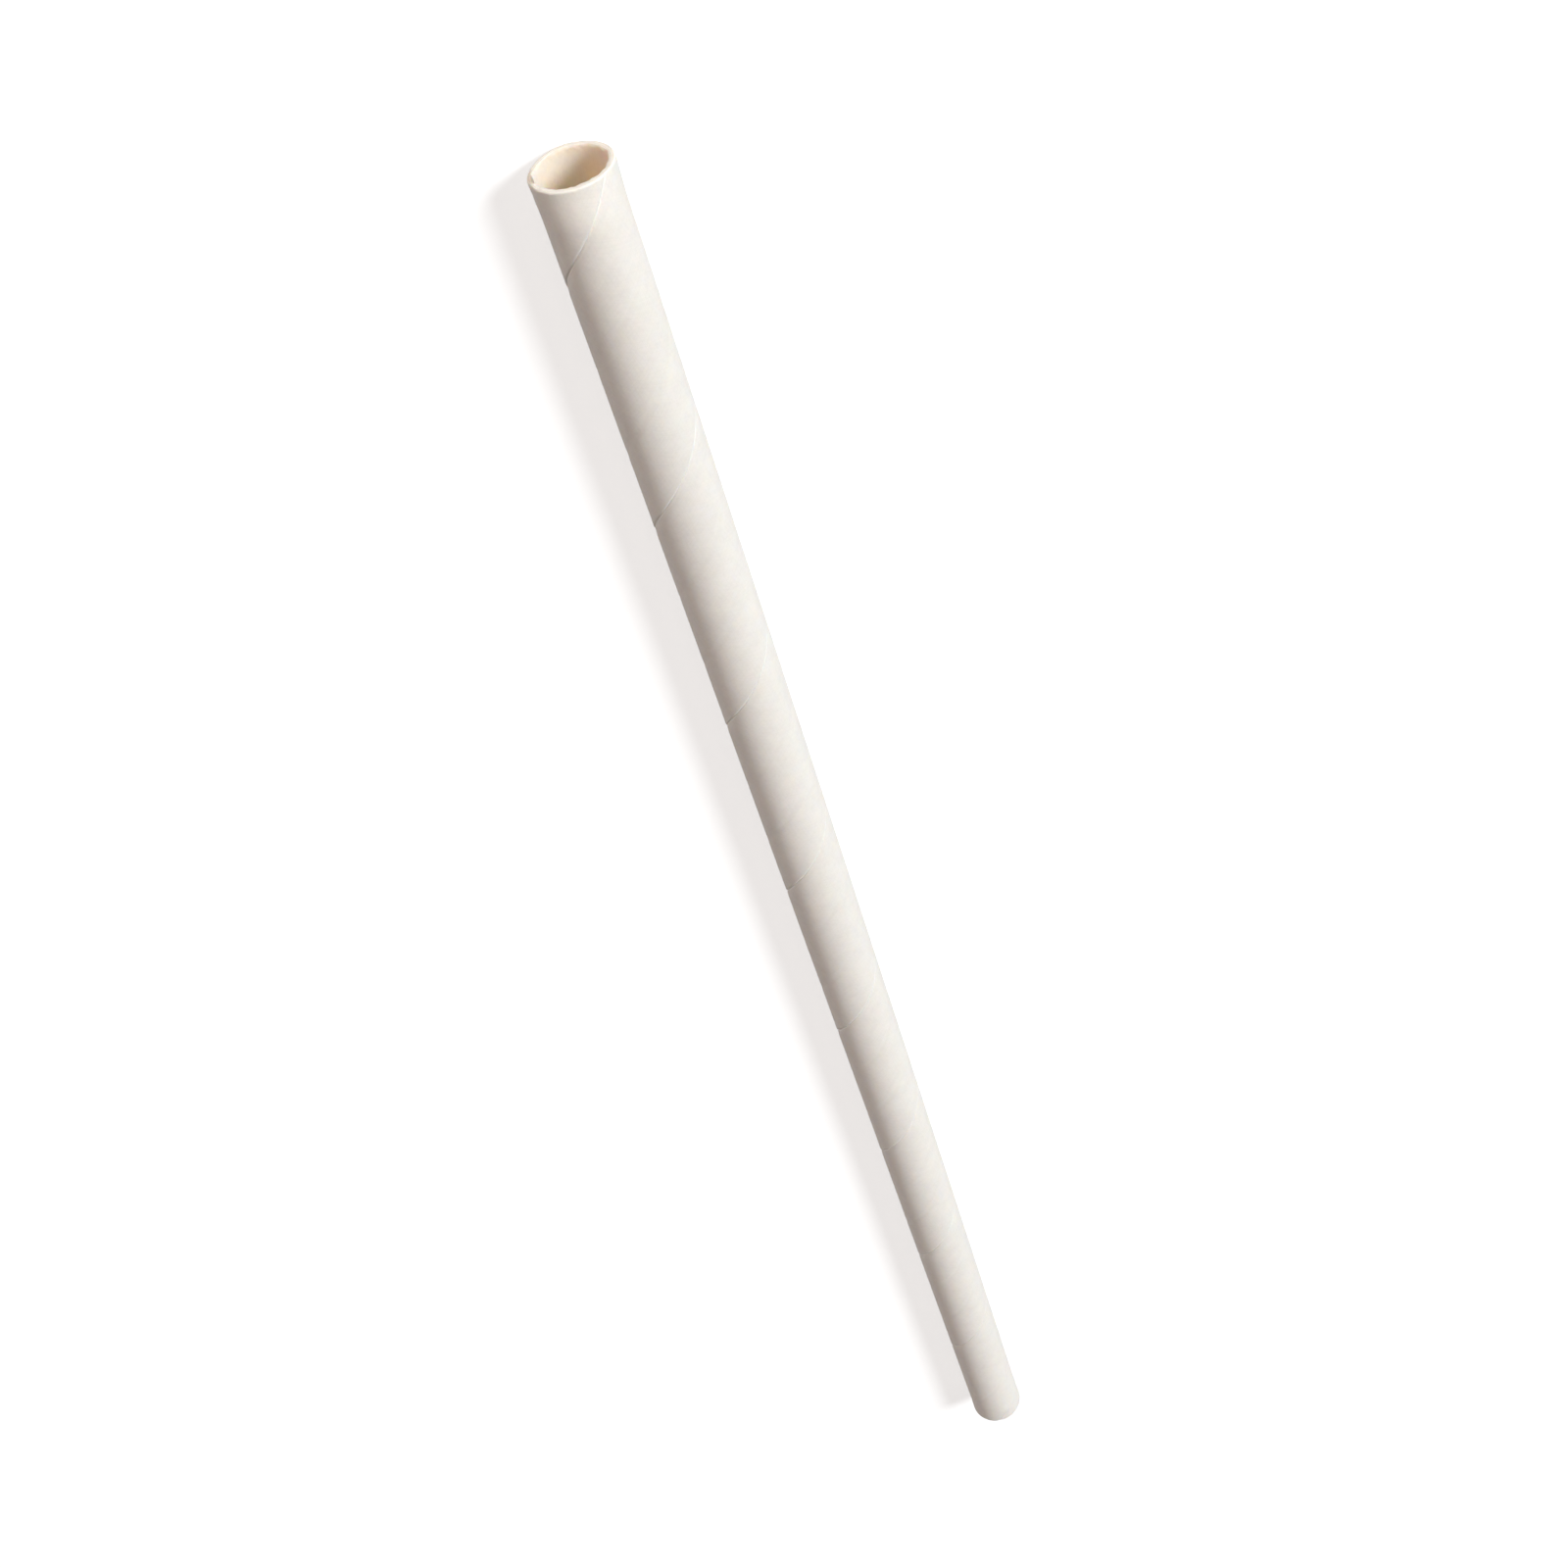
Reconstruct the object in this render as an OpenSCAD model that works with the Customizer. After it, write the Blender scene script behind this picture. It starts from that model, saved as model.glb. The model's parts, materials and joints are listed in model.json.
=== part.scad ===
/* [Straw] */
// Length of the straw, from cut to cut
straw_length = 197; // [100:1:260]
// Outside diameter of the tube
outer_d = 6; // [5:0.1:12]
// Thickness of the wall, all its paper layers together
wall = 0.5; // [0.4:0.05:0.8]
// Radius left on the inner and outer edges by the knife
edge_round = 0.08; // [0.04:0.01:0.15]
// Width of the slight flat pressed along the side that the soft tube lies on
rest_flat = 1; // [0.5:0.1:1.6]

/* [Winding] */
// Angle between the spiral seam and the straw's axis, in degrees
wind_angle = 38; // [30:1:55]
// Where the outer seam meets the mouth, in degrees from the top, turning right-handed
mouth_seam_angle = 47; // [0:1:359]
// Turn from the inner layer's seam to the outer layer's, in degrees
seam_stagger = 120; // [30:5:330]

/* [Seams] */
// Gap between the edges of the outer paper layer, measured square to the seam
outer_seam_gap = 0.16; // [0.08:0.02:0.4]
// Depth of the gap in the outer layer, whose glued edges are pressed down
outer_seam_depth = 0.045; // [0.02:0.005:0.12]
// Gap between the edges of the inner paper layer, measured square to the seam
inner_seam_gap = 0.2; // [0.08:0.02:0.4]
// Depth of the gap in the inner layer
inner_seam_depth = 0.1; // [0.05:0.01:0.15]

/* [Hidden] */
$fn = 96;
outer_r = outer_d / 2;
bore_r = outer_r - wall;
// Height of the axis above the surface that the straw lies on
axis_height = sqrt(outer_r * outer_r - rest_flat * rest_flat / 4);
// Length of one turn of the spiral along the straw
pitch = PI * outer_d / tan(wind_angle);
// Steps of the spiral in one turn
steps_per_turn = 36;
// How far a cutting shape reaches past the surface that it cuts
overreach = 0.1;

// A point at radius r and angle a from the top, at x along the straw's axis
function on_tube(x, r, a) = [x, -r * sin(a), r * cos(a)];

// A right-handed spiral bar between two radii, as wide as the gap that it cuts, from end to end
module spiral_bar(low_r, high_r, gap, mouth_angle) {
    half_w = gap / sin(wind_angle) / 2;
    past_end = half_w + overreach;
    steps = ceil((straw_length + 2 * past_end) / pitch * steps_per_turn);
    section = [[-half_w, low_r], [half_w, low_r], [half_w, high_r], [-half_w, high_r]];
    points = [
        for (i = [0:steps])
            let (turn = past_end / pitch - i / steps_per_turn)
            for (corner = section)
                on_tube(
                    straw_length / 2 + pitch * turn + corner[0],
                    corner[1],
                    mouth_angle + 360 * turn
                )
    ];
    sides = [
        for (i = [0:steps - 1])
            for (k = [0:3])
                let (
                    here = 4 * i + k,
                    beside = 4 * i + (k + 1) % 4
                )
                for (face = [[here, beside, beside + 4], [here, beside + 4, here + 4]])
                    face
    ];
    last = 4 * steps;
    ends = [[3, 2, 1], [3, 1, 0], [last, last + 1, last + 2], [last, last + 2, last + 3]];
    polyhedron(points, concat(sides, ends));
}

// The wall cut along the axis, with its four corners rounded
module wall_section() {
    translate([bore_r, edge_round])
        square([wall, straw_length - 2 * edge_round]);
    translate([bore_r + edge_round, 0])
        square([wall - 2 * edge_round, straw_length]);
    for (r = [bore_r + edge_round, outer_r - edge_round])
        for (x = [edge_round, straw_length - edge_round])
            translate([r, x])
                circle(edge_round);
}

// All that lies under the straw, up to its flat
module ground() {
    translate([-straw_length / 2 - overreach, -outer_r, -outer_r - overreach])
        cube([straw_length + 2 * overreach, outer_d, outer_r - axis_height + overreach]);
}

// The tube lies along X on its side, with the mouth at +X
module paper_tube() {
    color("ivory")
        translate([0, 0, axis_height])
            difference() {
                translate([-straw_length / 2, 0, 0])
                    rotate([0, 90, 0])
                        rotate_extrude()
                            wall_section();
                ground();
                spiral_bar(
                    outer_r - outer_seam_depth, outer_r + overreach,
                    outer_seam_gap, mouth_seam_angle
                );
                spiral_bar(
                    bore_r - overreach, bore_r + inner_seam_depth,
                    inner_seam_gap, mouth_seam_angle - seam_stagger
                );
            }
}

paper_tube();
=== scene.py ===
import json
import math

import bpy
from mathutils import Matrix, Vector


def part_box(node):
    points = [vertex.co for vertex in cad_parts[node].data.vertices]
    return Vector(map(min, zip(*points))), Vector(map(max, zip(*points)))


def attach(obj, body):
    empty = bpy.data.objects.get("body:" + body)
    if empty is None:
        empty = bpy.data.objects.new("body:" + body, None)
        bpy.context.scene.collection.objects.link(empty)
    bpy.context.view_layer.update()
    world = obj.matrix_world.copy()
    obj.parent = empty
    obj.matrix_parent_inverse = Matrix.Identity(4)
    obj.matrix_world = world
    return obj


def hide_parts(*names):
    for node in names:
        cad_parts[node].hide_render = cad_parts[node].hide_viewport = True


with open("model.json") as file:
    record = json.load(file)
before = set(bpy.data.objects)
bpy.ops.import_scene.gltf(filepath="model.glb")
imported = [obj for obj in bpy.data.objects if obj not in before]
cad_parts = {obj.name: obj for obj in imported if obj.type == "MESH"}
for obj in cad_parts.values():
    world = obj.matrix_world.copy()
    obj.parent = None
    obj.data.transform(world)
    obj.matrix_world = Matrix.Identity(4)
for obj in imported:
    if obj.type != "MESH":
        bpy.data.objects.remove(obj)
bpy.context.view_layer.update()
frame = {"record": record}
tau = 2 * math.pi
mm = 0.001  # metres in a millimetre


# Wires are sockets that can stand in plain formulas, in any kind of node tree

class wire:
    def __init__(self, tree, socket):
        self.tree = tree
        self.socket = socket

    def __add__(self, other):
        return calc("ADD", self, other)

    def __radd__(self, other):
        return calc("ADD", other, self)

    def __sub__(self, other):
        return calc("SUBTRACT", self, other)

    def __mul__(self, other):
        return calc("MULTIPLY", self, other)

    def __rmul__(self, other):
        return calc("MULTIPLY", other, self)

    def __truediv__(self, other):
        return calc("DIVIDE", self, other)

    def __rtruediv__(self, other):
        return calc("DIVIDE", other, self)


def treeOf(*values):
    return next(value.tree for value in values if isinstance(value, wire))


def feed(socket, value):
    # a wire is linked to the socket, anything else is its fixed value
    if isinstance(value, wire):
        value.tree.links.new(value.socket, socket)
    else:
        socket.default_value = value


def addNode(tree, kind, settings=None, **values):
    # a node with its inputs by name, as the wire from its first output
    made = tree.nodes.new(kind)
    for name, setting in (settings or {}).items():
        setattr(made, name, setting)
    for name, value in values.items():
        feed(made.inputs[name.replace("_", " ")], value)
    return wire(tree, made.outputs[0])


def calc(operation, *values):
    tree = treeOf(*values)
    node = tree.nodes.new("ShaderNodeMath")
    node.operation = operation
    for socket, value in zip(node.inputs, values):
        feed(socket, value)
    return wire(tree, node.outputs[0])


def sine(angle):
    return calc("SINE", angle)


def cosine(angle):
    return calc("COSINE", angle)


def absolute(value):
    return calc("ABSOLUTE", value)


def clamped(value):
    return calc("MINIMUM", calc("MAXIMUM", value, 0.0), 1.0)


def total(values):
    first, *others = values
    return sum(others, first)


def ramp(value, low, high, atLow=0.0, atHigh=1.0):
    # a smooth step between two values
    return addNode(treeOf(value, low, high), "ShaderNodeMapRange", {"interpolation_type": "SMOOTHSTEP"},
                   Value=value, From_Min=low, From_Max=high, To_Min=atLow, To_Max=atHigh)


def vector(x, y, z):
    return addNode(treeOf(x, y, z), "ShaderNodeCombineXYZ", X=x, Y=y, Z=z)


def scaled(spot, amount):
    return addNode(spot.tree, "ShaderNodeVectorMath", {"operation": "SCALE"}, Vector=spot, Scale=amount)


def axesOf(spot):
    node = spot.tree.nodes.new("ShaderNodeSeparateXYZ")
    feed(node.inputs[0], spot)
    return [wire(spot.tree, socket) for socket in node.outputs]


def noise(spot, size, seed, detail):
    # about -1 to 1, with lumps of about the given size
    made = addNode(spot.tree, "ShaderNodeTexNoise", {"noise_dimensions": "4D"},
                   Vector=spot, W=seed, Scale=1 / size, Detail=detail)
    return (made - 0.5) * 2.0


def addInput(tree, name, kind, value):
    made = tree.interface.new_socket(name, in_out="INPUT", socket_type=kind)
    if value is not None:
        made.default_value = value
    return made.identifier


def addObject(name, data):
    made = bpy.data.objects.new(name, data)
    bpy.context.scene.collection.objects.link(made)
    return made


def addMaterial(name):
    material = bpy.data.materials.new(name)
    material.use_nodes = True
    return material, material.node_tree, material.node_tree.nodes["Principled BSDF"]


def objectAxes(tree):
    coordinates = tree.nodes.new("ShaderNodeTexCoord")
    return axesOf(wire(tree, coordinates.outputs["Object"]))


# The straw: strips of paper wound in a spiral, one layer over another

tubeLow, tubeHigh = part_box("paper_tube")
tubeRadius = (tubeHigh.y - tubeLow.y) / 2 / mm
boreMount = next(mount for mount in frame["record"]["mounts"] if mount["name"] == "bore")
paperStraw = {  # lengths in millimetres, angles in degrees
    "length": (tubeHigh.x - tubeLow.x) / mm,
    "radius": tubeRadius,
    "wall": tubeRadius - boreMount["dims"]["r_mm"],
    "axisHeight": tubeHigh.z / mm - tubeRadius,  # a little less than the radius, for the pressed flat
    "flatSoftness": 0.02,  # how gently the flat starts
    "edgeRound": 0.17,  # radius of the two edges of the cut
    "windAngle": 38.0,  # between the seam and the axis
    "mouthSeamAngle": 47.0,  # from the top, where the outer seam meets the mouth
    "seamStagger": 120.0,  # from one layer's seam to the next layer's
    "markDepth": 0.3,  # share of the wall over which the marks on either side fade out
    "outerGap": 0.15,
    "outerGapDepth": 0.11,
    "edgeRoll": 0.16,  # one edge of the outer strip rolls down towards the gap
    "edgeRise": 0.6,  # the other starts with a step and then rises slowly
    "riseFrom": 0.4,  # from this share of the gap's depth
    "innerGap": 0.2,
    "innerGapDepth": 0.1,
    "innerEdge": 0.02,  # half the width of the slope down into the inner gap
    "hiddenDip": 0.028,  # the gaps of the layers below show through as soft dips
    "middleDip": 0.6,  # the middle layer's, as a share of the inner layer's
    "dipReach": 0.5,
    "waviness": 0.025,
    "pinch": 0.095,  # share of the radius that the knife pressed the ends in, top and bottom
    "pinchReach": 3.5,
    "footPinch": 0.4,  # the foot is pressed less, by this factor
    "bulge": 0.035,  # share of the radius that they are pushed out at the sides
    "bulgePower": 8.0,  # a higher power keeps the bulge closer to the sides
    "cutRoughness": 0.1,
    "cutReach": 0.9,  # how far from the end the ragged cut is felt
    "plyLine": 0.03,  # the joints of the layers in the cut
    "plyLineDepth": 0.015,
    "fray": 0.32,  # how far the rim's inner edge wanders in and out
    "frayReach": 0.8,
    "rimMargin": 0.1,  # closer to the end than this, cut and fray have their full size
    "burr": 0.45,  # the corner of the inner strip that the knife left standing
    "burrWidth": 1.6,
    "burrFrom": 0.62,  # it grows between these two shares of the wall's depth
    "burrTo": 0.75,
    "columns": 104,
    "seamCrowding": 0.8,  # columns lie closer together at the seams
    "outerRows": 660,
    "outerCrowding": 0.3,  # rows lie closer together near both ends
    "innerRows": 180,
    "innerCrowding": 0.45,
    "rimRows": 20,
    "weldReach": 0.001,  # points closer than this are joined
    "seed": 7,
}
paperLumps = {  # sums of noise, each layer as its size in millimetres, its share and its detail
    "gapWidth": {"seedStep": 0, "layers": ((5.0, 0.4, 2.0), (1.2, 0.15, 2.0))},
    "wall": {"seedStep": 3, "layers": ((7.0, 0.6, 2.0), (1.5, 0.4, 2.0))},
    "cut": {"seedStep": 5, "layers": ((0.5, 1.0, 3.0), (1.6, 0.8, 2.0))},
    "fray": {"seedStep": 8, "layers": ((0.6, 1.0, 3.0),)},
}


def lumps(point, seed, kind):
    # one of the sums of noise, each of its layers with a seed of its own
    firstSeed = seed + paperLumps[kind]["seedStep"]
    return total([noise(point, size, firstSeed + number, detail) * share
                  for number, (size, share, detail) in enumerate(paperLumps[kind]["layers"])])


def crowded(part, crowding):
    # rows lie closer together near both ends
    return part - crowding * sine(part * tau) / tau


def gridOf(tree, size):
    # a flat sheet, and the row and column of each of its points
    rows = size["outerRows"] + size["innerRows"] + size["rimRows"] * 2
    acrossRow = size["columns"] + 1
    sheet = addNode(tree, "GeometryNodeMeshGrid", Vertices_X=rows + 1, Vertices_Y=acrossRow)
    onPoints = {"data_type": "INT", "domain": "POINT"}  # each corner reads its own point's number
    index = addNode(tree, "GeometryNodeFieldOnDomain", onPoints,
                    Value=addNode(tree, "GeometryNodeInputIndex"))
    row = calc("FLOOR", (index + 0.5) / acrossRow)
    return sheet, row, index - row * acrossRow


def sectionOf(size, row):
    # rows run round the wall's section: along the outside, over the mouth, back inside, over the foot
    outerPart = clamped(row / size["outerRows"])
    row = row - size["outerRows"]
    mouthPart = clamped(row / size["rimRows"])
    row = row - size["rimRows"]
    innerPart = clamped(row / size["innerRows"])
    footPart = clamped((row - size["innerRows"]) / size["rimRows"])

    # along the axis, and how deep in the wall, with round edges at both ends
    wall, edge = size["wall"], size["edgeRound"]
    straight = size["length"] / 2 - edge
    fromFoot = crowded(outerPart, size["outerCrowding"]) - crowded(innerPart, size["innerCrowding"])
    along = fromFoot * 2.0 * straight - straight
    depth = wall / 2 * (cosine(footPart * math.pi) - cosine(mouthPart * math.pi))
    toSkin = calc("MINIMUM", depth, wall - depth)
    onEdge = edge - calc("MINIMUM", toSkin, edge)
    beyond = calc("SQRT", edge * edge - onEdge * onEdge)
    return along + beyond * calc("SIGN", along), depth


def spiralOf(size, column, along):
    # columns follow the spiral, so each keeps its distance from the seams
    turn = column / size["columns"] * tau
    around = turn - size["seamCrowding"] * sine(turn * 3) / 3  # three layers, so three seams
    pitch = tau * size["radius"] / calc("TANGENT", calc("RADIANS", size["windAngle"]))
    fromMouth = (along - size["length"] / 2) / pitch * tau
    return around, calc("RADIANS", size["mouthSeamAngle"]) + fromMouth + around


def seamDistances(size, around, smooth):
    # distances from the outer, the middle and the inner layer's seam, squarely across the strip
    stagger = calc("RADIANS", size["seamStagger"])
    perRadian = smooth * cosine(calc("RADIANS", size["windAngle"]))
    return [calc("WRAP", turn, math.pi, -math.pi) * perRadian
            for turn in (around, around - stagger, around + stagger)]


def nearEnds(size, along, reach, margin=0.0):
    # 0 along the body, and 1 where either end is closer than the margin
    halfLength = size["length"] / 2
    return ramp(absolute(along), halfLength - reach, halfLength - margin)


def mouthHalf(along):
    # 1 in the half with the mouth, 0 in the half with the foot, changing over the middle two millimetres
    return ramp(along, -1.0, 1.0)


def swelling(size, point, along, angle, depth, seams):
    # how far the paper stands out from a plain tube
    fromOuter, fromMiddle, fromInner = seams
    wall, marks = size["wall"], size["wall"] * size["markDepth"]
    outside = ramp(depth, 0.0, marks, 1.0, 0.0)
    inside = ramp(depth, wall - marks, wall)

    # the strips' edges wander and lift a little
    wander = lumps(point, size["seed"], "gapWidth") + 1.0
    halfOuter = size["outerGap"] * wander / 2
    outerGap = (ramp(fromOuter, size["edgeRoll"] * -1, 0.0)
                * ramp(fromOuter, 0.0, halfOuter, 1.0, size["riseFrom"])
                * ramp(fromOuter, halfOuter, size["edgeRise"], 1.0, 0.0))
    halfInner, slope = size["innerGap"] * wander / 2, size["innerEdge"]
    innerGap = ramp(absolute(fromInner), halfInner - slope, halfInner + slope, 1.0, 0.0)
    dips = [ramp(absolute(distance), 0.0, size["dipReach"], 1.0, 0.0) for distance in (fromInner, fromMiddle)]
    dip = dips[0] + dips[1] * size["middleDip"]

    # the knife pressed the ends a little flat, and their inner edge is frayed
    upright = cosine(angle)
    sideways = calc("POWER", absolute(sine(angle)), size["bulgePower"])
    squeezed = size["bulge"] * sideways - size["pinch"] * upright * upright
    pressed = nearEnds(size, along, size["pinchReach"]) * calc("MAXIMUM", mouthHalf(along), size["footPinch"])
    frayed = size["fray"] * nearEnds(size, along, size["frayReach"], size["rimMargin"])

    return (outside * (size["hiddenDip"] * dip + size["outerGapDepth"] * outerGap) * -1
            + inside * (size["innerGapDepth"] * innerGap + frayed * lumps(point, size["seed"], "fray"))
            + size["waviness"] * lumps(point, size["seed"], "wall")
            + size["radius"] * squeezed * pressed)


def raggedCut(size, point, along, depth, fromInner):
    # how far the cut end stands out: a rough edge, the layers' joints, and one corner left standing
    wall, slope = size["wall"], size["innerEdge"]
    fromPly = calc("MINIMUM", absolute(depth - wall / 3), absolute(depth - wall * 2 / 3))
    plies = ramp(fromPly, 0.0, size["plyLine"], 1.0, 0.0)
    corner = (ramp(fromInner + size["innerGap"] / 2, slope * -1, slope, 1.0, 0.0)
              * ramp(fromInner, size["burrWidth"] * -1, size["innerGap"] * -1)
              * ramp(depth, wall * size["burrFrom"], wall * size["burrTo"]))
    cut = (size["cutRoughness"] * lumps(point, size["seed"], "cut")
           + size["burr"] * corner * mouthHalf(along)
           - size["plyLineDepth"] * plies)
    return calc("SIGN", along) * nearEnds(size, along, size["cutReach"], size["rimMargin"]) * cut


def windingTree(finishes):
    tree = bpy.data.node_groups.new("spiralWinding", "GeometryNodeTree")
    for way in ("INPUT", "OUTPUT"):
        tree.interface.new_socket("Geometry", in_out=way, socket_type="NodeSocketGeometry")
    keys = {}
    for name, value in paperStraw.items():
        kind = "NodeSocketInt" if isinstance(value, int) else "NodeSocketFloat"
        keys[name] = addInput(tree, name, kind, value)
    source = tree.nodes.new("NodeGroupInput")
    size = {name: wire(tree, source.outputs[name]) for name in paperStraw}

    sheet, row, column = gridOf(tree, size)
    along, depth = sectionOf(size, row)
    around, angle = spiralOf(size, column, along)
    smooth = size["radius"] - depth
    point = vector(along, smooth * sine(angle) * -1, smooth * cosine(angle))
    seams = seamDistances(size, around, smooth)
    far = smooth + swelling(size, point, along, angle, depth, seams)
    along = along + raggedCut(size, point, along, depth, seams[2])

    # the tube lies on a narrow pressed flat
    height = calc("SMOOTH_MAX", size["axisHeight"] + far * cosine(angle), 0.0, size["flatSoftness"])
    spot = scaled(vector(along, far * sine(angle) * -1, height), mm)
    shaped = addNode(tree, "GeometryNodeSetPosition", Geometry=sheet, Position=spot)

    # where each face lies on the strip: across, along, and through the wall
    wind = calc("RADIANS", size["windAngle"])
    run = around * size["radius"]
    strip = vector(run * cosine(wind), along / cosine(wind) + run * sine(wind), depth / size["wall"])
    onCorners = {"data_type": "FLOAT_VECTOR", "domain": "CORNER"}  # it jumps where the sheet closes
    marked = addNode(tree, "GeometryNodeStoreNamedAttribute", onCorners,
                     Geometry=shaped, Name="strip", Value=strip)
    closed = addNode(tree, "GeometryNodeMergeByDistance", Geometry=marked, Distance=size["weldReach"] * mm)
    flipped = addNode(tree, "GeometryNodeFlipFaces", Mesh=closed)
    shaded = addNode(tree, "GeometryNodeSetShadeSmooth", Geometry=flipped)
    result = addNode(tree, "GeometryNodeRealizeInstances", Geometry=shaded)

    edgeShare = 0.15  # share of the wall's depth that still counts as the skin or the lining
    read = addNode(tree, "GeometryNodeInputNamedAttribute", {"data_type": "FLOAT_VECTOR"}, Name="strip")
    through = axesOf(read)[2]
    picks = {"skin": True, "cut": calc("GREATER_THAN", through, edgeShare),
             "lining": calc("GREATER_THAN", through, 1 - edgeShare)}
    for part, pick in picks.items():
        result = addNode(tree, "GeometryNodeSetMaterial",
                         Geometry=result, Selection=pick, Material=finishes[part])
    feed(tree.nodes.new("NodeGroupOutput").inputs[0], result)
    return tree, keys


# Finishes of the paper

paperLook = {  # lengths in millimetres
    "skin": {
        "name": "ivoryPaper",
        "color": (0.87, 0.835, 0.785),
        "endColor": (0.85, 0.825, 0.775),  # close to both ends of the straw, a little darker: painted shade against the bright light on the rim
        "endReach": 1.6,
        "gap": (0.935, 0.91, 0.865),  # where the outer strip's pale edge shows, brightened further as a painted highlight of that edge catching the light
        "gapHalfWidth": 0.06,
        "roughness": 0.82,
        "glow": 0.35,  # share of the light that goes through the paper
        "glowReach": 0.6,  # and how far it goes
        "bump": 0.009,
    },
    "lining": {
        "name": "liningWithPaintedBounce",
        # warmer than the skin: painted warm light, standing in for light bounced about inside the tube
        "color": (0.97, 0.81, 0.63),
        # darker close to both ends: painted shade against the light that falls in at the mouth
        "endColor": (0.80, 0.72, 0.635),
        "endReach": 3.5,
        # darker along the inner seam: glue, and painted shade in its groove
        "gap": (0.90, 0.77, 0.60),
        "gapHalfWidth": 0.09,
        "roughness": 0.9,
        "glow": 1.0,
        "glowReach": 0.8,
        "bump": 0.012,
    },
    "cut": {
        "name": "cutPaper",
        "color": (0.845, 0.805, 0.74),
        "endColor": (0.845, 0.805, 0.74),
        "endReach": 1.6,
        "gap": (0.77, 0.71, 0.62),  # the joints of the layers
        "gapHalfWidth": 0.03,  # as a share of the wall
        "roughness": 0.95,
        "glow": 0.4,
        "glowReach": 0.6,
        "bump": 0.03,
    },
    "gapSoftness": 0.5,  # share of the half width
    "cloudSize": 1.6,
    "cloudDepth": 0.045,
    "cloudRoughness": 0.04,
    "cloudSeed": 1.0,
    "fibreSize": 0.35,
    "fibreDepth": 0.05,
    "fibreStretch": 7.0,  # how many times longer than wide
    "fibreLine": 0.16,  # a higher value draws them broader
    "fibreSets": ((0.15, 11.0), (-0.9, 12.0), (1.3, 13.0)),  # the lean in radians, and the seed
    "grainSize": 0.12,
    "grainSeed": 5.0,
    "heightShares": {"fibres": 0.33, "grain": 0.35, "clouds": 0.4},
    "bumpStrength": 0.6,
    "bend": 1.45,  # index of refraction
    "gloss": 0.35,
    "sheen": 0.08,
    "sheenRoughness": 0.6,
    "glowColor": (1.0, 0.72, 0.42),
}


def outputsOf(tree, names):
    sink = tree.nodes.new("NodeGroupOutput")
    return {name: sink.inputs[name] for name in names}


def fibreGroup():
    # pressed fibres and the cloudy formation of paper, from a place in millimetres on the strip
    names = ("Clouds", "Fibres", "Height")
    shares = paperLook["heightShares"]
    tree = bpy.data.node_groups.new("pressedFibres", "ShaderNodeTree")
    addInput(tree, "Place", "NodeSocketVector", None)
    addInput(tree, "Cloud Size", "NodeSocketFloat", paperLook["cloudSize"])
    addInput(tree, "Fibre Size", "NodeSocketFloat", paperLook["fibreSize"])
    for name in names:
        tree.interface.new_socket(name, in_out="OUTPUT", socket_type="NodeSocketFloat")
    source = tree.nodes.new("NodeGroupInput")
    spot, cloudSize, fibreSize = [wire(tree, source.outputs[i]) for i in range(3)]
    across, along, through = axesOf(spot)
    clouds = noise(spot, cloudSize, paperLook["cloudSeed"], detail=3.0)
    grain = noise(spot, paperLook["grainSize"], paperLook["grainSeed"], detail=2.0)
    threads = []
    for lean, seed in paperLook["fibreSets"]:
        # each set of fibres runs another way, long and thin
        c, s = math.cos(lean), math.sin(lean)
        side = across * c - along * s
        length = across * s + along * c
        fibreLength = fibreSize * paperLook["fibreStretch"]
        stretched = vector(side / fibreSize, length / fibreLength, through / fibreSize)
        drawn = noise(stretched, 1.0, seed, detail=1.0)
        threads.append(ramp(absolute(drawn), 0.0, paperLook["fibreLine"], 1.0, 0.0))
    fibres = total(threads) * shares["fibres"]
    height = fibres + grain * shares["grain"] + clouds * shares["clouds"]
    sockets = outputsOf(tree, names)
    for name, value in zip(names, (clouds, fibres, height)):
        feed(sockets[name], value)
    return tree


def lineGroup():
    # a soft line where a measure passes a given value
    tree = bpy.data.node_groups.new("softLine", "ShaderNodeTree")
    for name, value in (("Measure", 0.0), ("Line At", 0.0), ("Half Width", 0.1), ("Softness", 0.05)):
        addInput(tree, name, "NodeSocketFloat", value)
    tree.interface.new_socket("Mask", in_out="OUTPUT", socket_type="NodeSocketFloat")
    source = tree.nodes.new("NodeGroupInput")
    measure, lineAt, halfWidth, softness = [wire(tree, source.outputs[i]) for i in range(4)]
    mask = ramp(absolute(measure - lineAt), halfWidth, halfWidth + softness, 1.0, 0.0)
    feed(outputsOf(tree, ("Mask",))["Mask"], mask)
    return tree


def useGroup(tree, group, *values):
    # a group node in a material, with its inputs in order
    made = tree.nodes.new("ShaderNodeGroup")
    made.node_tree = group
    for socket, value in zip(made.inputs, values):
        feed(socket, value)
    return [wire(tree, socket) for socket in made.outputs]


def blended(part, low, high):
    made = part.tree.nodes.new("ShaderNodeMix")
    made.data_type = "RGBA"
    feed(made.inputs[0], part)
    for socket, value in ((made.inputs[6], low), (made.inputs[7], high)):  # its two color sockets
        feed(socket, value if isinstance(value, wire) else (*value, 1.0))
    return wire(part.tree, made.outputs[2])


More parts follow.
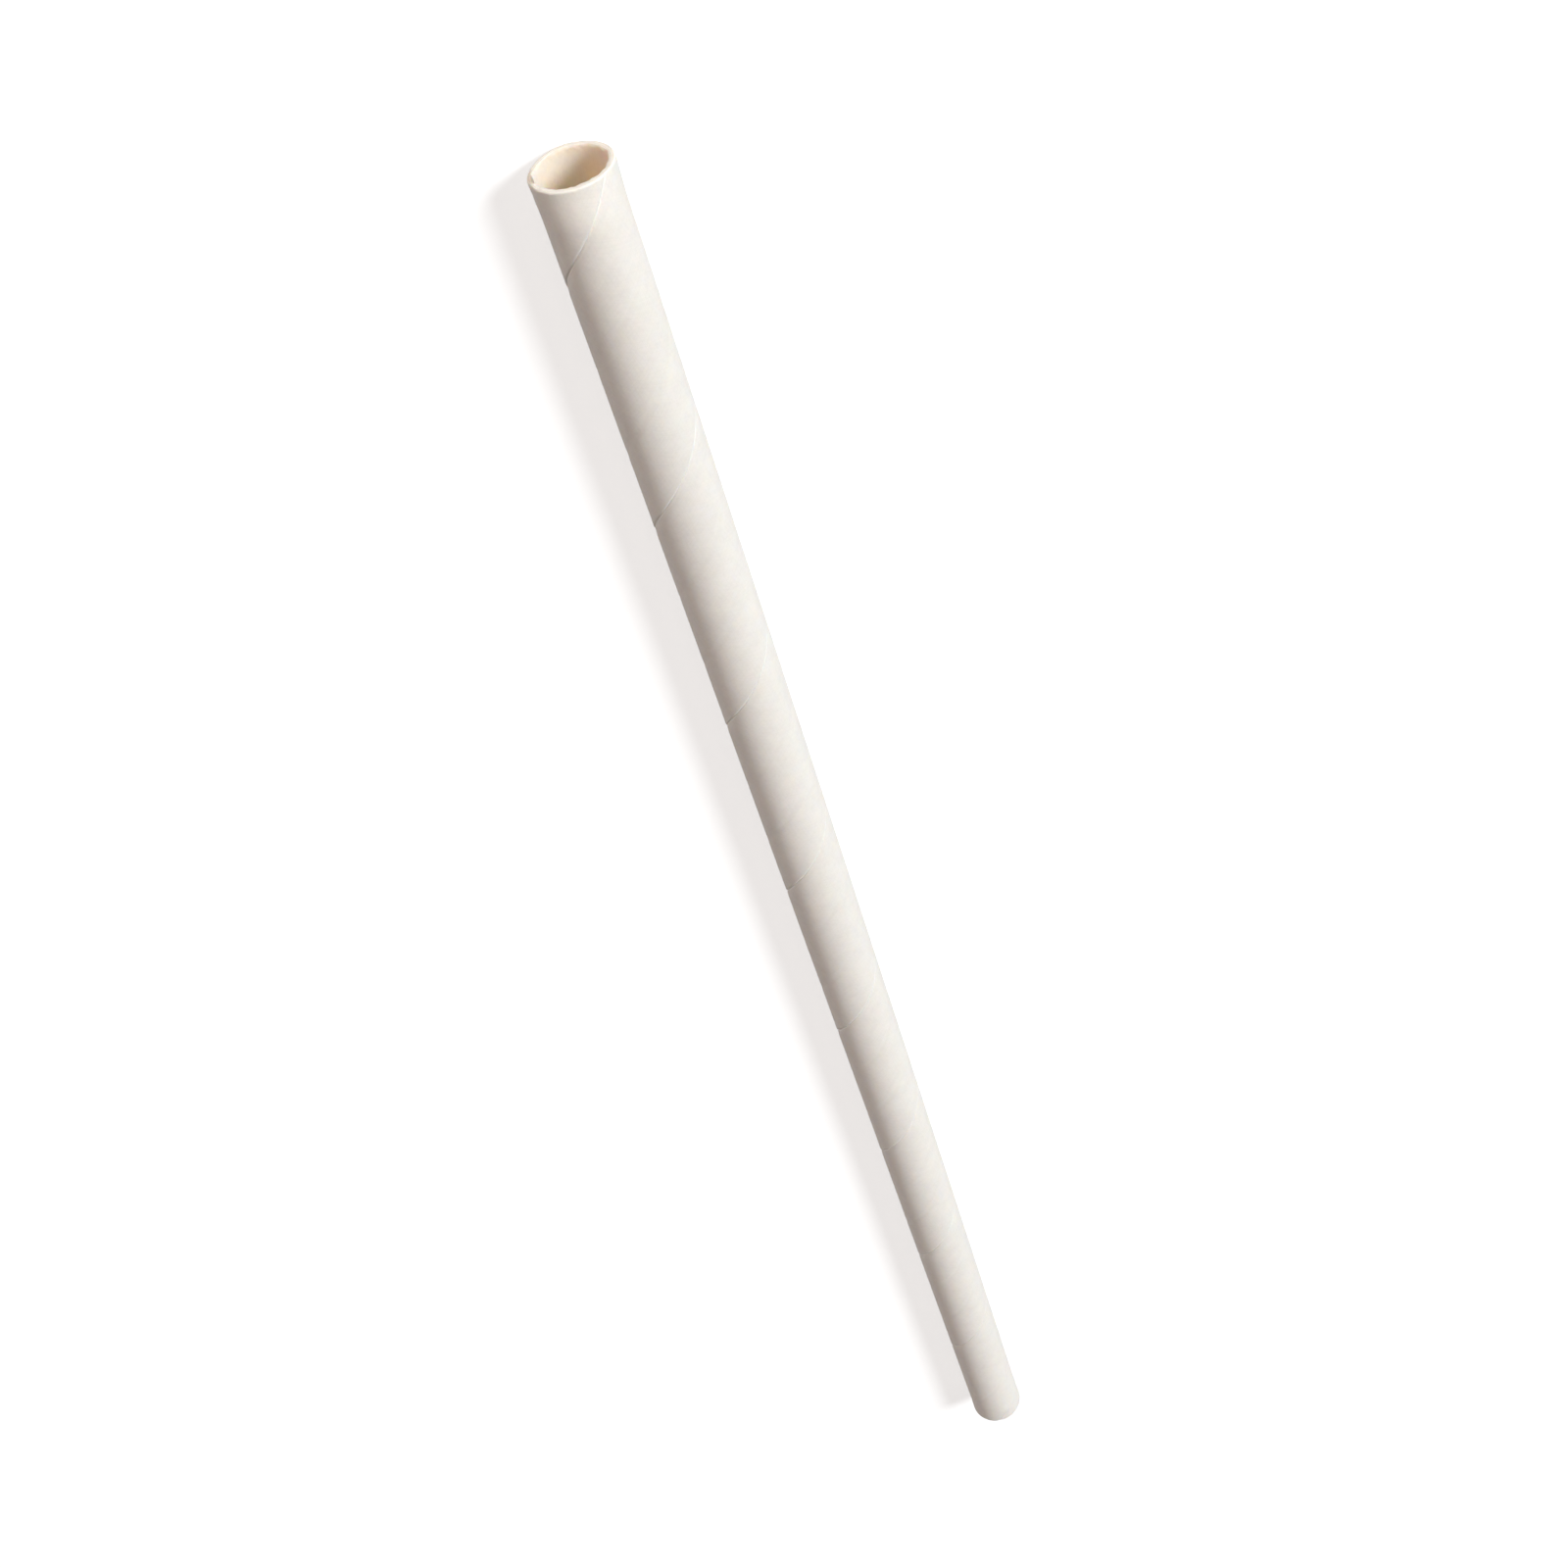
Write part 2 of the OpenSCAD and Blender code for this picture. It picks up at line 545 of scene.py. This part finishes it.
def paperFinish(part, fibres, softLine, lines):
    # lines are the gaps that show on this part, each as an axis of the strip and a place on it
    look = paperLook[part]
    material, tree, shader = addMaterial(look["name"])
    mark = tree.nodes.new("ShaderNodeAttribute")
    mark.attribute_name = "strip"
    spot = wire(tree, mark.outputs["Vector"])
    axes = axesOf(spot)
    clouds, threads, height = useGroup(tree, fibres, spot, paperLook["cloudSize"], paperLook["fibreSize"])
    tone = 1.0 + clouds * paperLook["cloudDepth"] - threads * paperLook["fibreDepth"]
    halfWidth = look["gapHalfWidth"]
    softness = halfWidth * paperLook["gapSoftness"]
    gaps = total([useGroup(tree, softLine, axes[axis], where, halfWidth, softness)[0]
                  for axis, where in lines])
    halfLength = paperStraw["length"] / 2
    # towards both ends the colour turns to endColor: painted shade on the skin and the lining
    endPart = ramp(absolute(objectAxes(tree)[0]) / mm, halfLength - look["endReach"], halfLength)
    color = blended(endPart, look["color"], look["endColor"])
    # the gap lines: on the skin a pale edge with a painted highlight, on the lining glue with painted shade,
    # in the cut the layers' joints
    color = blended(clamped(gaps), color, look["gap"])
    bump = addNode(tree, "ShaderNodeBump", Strength=paperLook["bumpStrength"],
                   Distance=look["bump"] * mm, Height=height)
    for name, value in (("Base Color", scaled(color, tone)),
                        ("Roughness", look["roughness"] + clouds * paperLook["cloudRoughness"]),
                        ("Normal", bump),
                        ("IOR", paperLook["bend"]),
                        ("Specular IOR Level", paperLook["gloss"]),
                        ("Sheen Weight", paperLook["sheen"]),
                        ("Sheen Roughness", paperLook["sheenRoughness"]),
                        ("Subsurface Weight", look["glow"]),
                        ("Subsurface Radius", paperLook["glowColor"]),
                        ("Subsurface Scale", look["glowReach"] * mm)):
        feed(shader.inputs[name], value)
    return material


def strawFinishes():
    fibres, softLine = fibreGroup(), lineGroup()
    stripWidth = tau * tubeRadius * math.cos(math.radians(paperStraw["windAngle"]))
    innerSeam = stripWidth * (1 - paperStraw["seamStagger"] / 360)
    lines = {
        "skin": ((0, 0.0), (0, stripWidth)),
        "lining": ((0, innerSeam),),
        "cut": ((2, 1 / 3), (2, 2 / 3)),  # between the three layers
    }
    return {part: paperFinish(part, fibres, softLine, lines[part]) for part in lines}


def makeStraw():
    tree, keys = windingTree(strawFinishes())
    tube = addObject("paperStraw", bpy.data.meshes.new("paperStraw"))
    winding = tube.modifiers.new("winding", "NODES")
    winding.node_group = tree
    for name, value in paperStraw.items():
        winding[keys[name]] = value
    tube.update_tag()
    ready = tube.evaluated_get(bpy.context.evaluated_depsgraph_get())
    made = bpy.data.meshes.new_from_object(ready)
    tube.modifiers.clear()
    made.materials.pop(index=0)  # the grid's own empty slot
    tube.data = made
    made.name = "paperStraw"
    print("straw wound:", len(made.vertices), "points,", len(made.polygons), "faces")
    return tube


straw = makeStraw()
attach(straw, "root")
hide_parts("paper_tube")


# Studio: a white floor, a soft window light from the right and a camera above the mouth

studio = {  # lengths in metres
    "lights": {
        "windowLight": {
            "towards": (0.43, -0.65, 0.63),
            "distance": 3.0,
            "size": 1.1,
            "power": 84.0,
            "tint": (0.93, 0.98, 1.0),
        },
        "wallBounce": {
            "towards": (0.9, 0.16, 0.4),
            "distance": 3.0,
            "size": 2.0,
            "power": 42.0,
            "tint": (1.0, 0.88, 0.78),
        },
    },
    "roomLight": 0.13,  # even light from all sides
    "roomTint": (1.0, 0.785, 0.755),
    "floorColor": (0.62, 0.62, 0.62),
    "floorRoughness": 0.9,
    "floorGlow": 0.62,  # seen by the camera only
    "floorHalf": 4.0,
    "fadeFrom": 0.25,  # past this distance the floor turns plain white
    "fadeTo": 0.7,
}
viewpoint = {
    "place": (0.1904, 0.0, 0.1392),
    "lookDown": 40.6,  # degrees below level, towards the middle of the straw's picture
    "lean": 19.05,  # degrees between the straw and the picture's upright
    "lens": 54.5,  # in millimetres
    "nearest": 0.01,
    "farthest": 20.0,
}
black, white = (0.0, 0.0, 0.0), (1.0, 1.0, 1.0)


def seenDirectly(tree):
    # 1 for what the camera sees, straight or in a reflection or through glass
    paths = tree.nodes.new("ShaderNodeLightPath")
    rays = [wire(tree, paths.outputs[name])
            for name in ("Is Camera Ray", "Is Glossy Ray", "Is Transmission Ray")]
    return calc("MAXIMUM", calc("MAXIMUM", rays[0], rays[1]), rays[2])


def makeFloor():
    half = studio["floorHalf"]
    mesh = bpy.data.meshes.new("studioFloor")
    corners = [(-half, -half, 0), (half, -half, 0), (half, half, 0), (-half, half, 0)]
    mesh.from_pydata(corners, [], [(0, 1, 2, 3)])
    floor = addObject("studioFloor", mesh)
    material, tree, shader = addMaterial("whiteFloor")
    x, y = objectAxes(tree)[:2]
    far = ramp(calc("SQRT", x * x + y * y), studio["fadeFrom"], studio["fadeTo"])
    seen = seenDirectly(tree)
    glow = studio["floorGlow"]
    for name, value in (("Base Color", blended(seen * far, studio["floorColor"], black)),
                        ("Roughness", studio["floorRoughness"]),
                        ("Specular IOR Level", 0.0),
                        ("Emission Color", (*white, 1.0)),
                        ("Emission Strength", seen * (glow + far * (1 - glow)))):
        feed(shader.inputs[name], value)
    mesh.materials.append(material)


def makeRoom():
    world = bpy.data.worlds.new("whiteRoom")
    bpy.context.scene.world = world
    world.use_nodes = True
    tree = world.node_tree
    sky = tree.nodes["Background"]
    seen = seenDirectly(tree)
    feed(sky.inputs["Color"], blended(seen, studio["roomTint"], white))
    feed(sky.inputs["Strength"], studio["roomLight"] + seen * (1 - studio["roomLight"]))


def softLight(name, towards, distance, size, power, tint):
    lamp = bpy.data.lights.new(name, "AREA")
    lamp.shape = "DISK"
    lamp.size = size
    lamp.energy = power
    lamp.color = tint
    shown = addObject(name, lamp)
    direction = Vector(towards).normalized()
    shown.location = direction * distance
    shown.rotation_euler = direction.to_track_quat("Z", "Y").to_euler()


def makeCamera():
    data = bpy.data.cameras.new("camera")
    data.lens = viewpoint["lens"]
    data.clip_start = viewpoint["nearest"]
    data.clip_end = viewpoint["farthest"]
    camera = addObject("camera", data)
    down, lean = math.radians(viewpoint["lookDown"]), math.radians(viewpoint["lean"])
    forward = Vector((-math.cos(down), 0, -math.sin(down)))
    towardsMouth = Vector((math.sin(down), 0, -math.cos(down)))
    up = towardsMouth * math.cos(lean) - Vector((0, 1, 0)) * math.sin(lean)
    turned = Matrix((forward.cross(up), up, -forward)).transposed().to_4x4()
    camera.matrix_world = Matrix.Translation(viewpoint["place"]) @ turned
    bpy.context.scene.camera = camera


makeFloor()
makeRoom()
for name, light in studio["lights"].items():
    softLight(name, **light)
makeCamera()
bpy.context.scene.view_settings.view_transform = "Standard"
print("studio ready")
